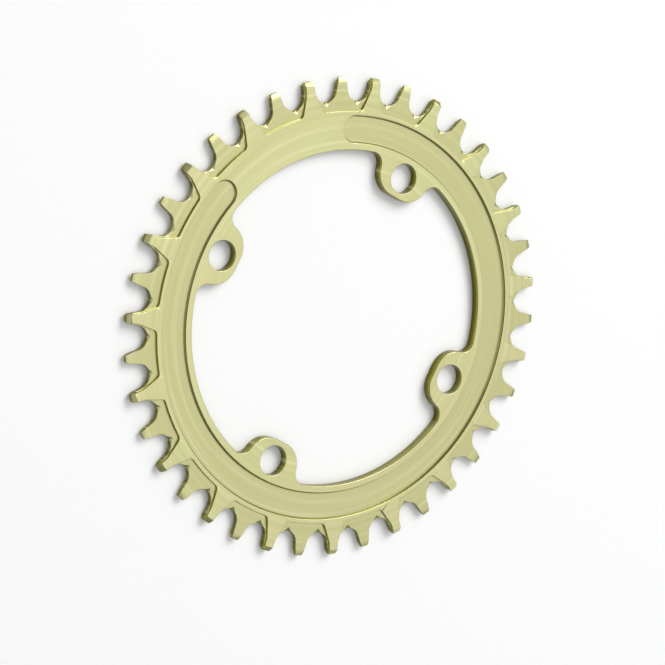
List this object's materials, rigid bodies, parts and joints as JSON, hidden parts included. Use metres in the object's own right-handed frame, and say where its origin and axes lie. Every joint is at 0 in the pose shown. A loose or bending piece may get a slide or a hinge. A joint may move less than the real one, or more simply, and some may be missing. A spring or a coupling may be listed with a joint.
{
  "type": "bicycle chainring",
  "caption": "Round toothed ring of gold anodised aluminium for a single-ring bicycle crank, with alternating thick and thin teeth and inward bolt ears.",
  "frame": {"origin": "middle of the bolt circle, on the flat back face", "axes": "+Z along the crank's axle, out of the milled front face; +X through the first bolt ear and the first thick tooth"},
  "size_m": [0.1618, 0.1614, 0.0035],
  "materials": {
    "gold_anodised_aluminium": "satin anodised, pale champagne gold"
  },
  "bodies": {
    "root": {"chainring": "gold_anodised_aluminium"}
  },
  "joints": []
}
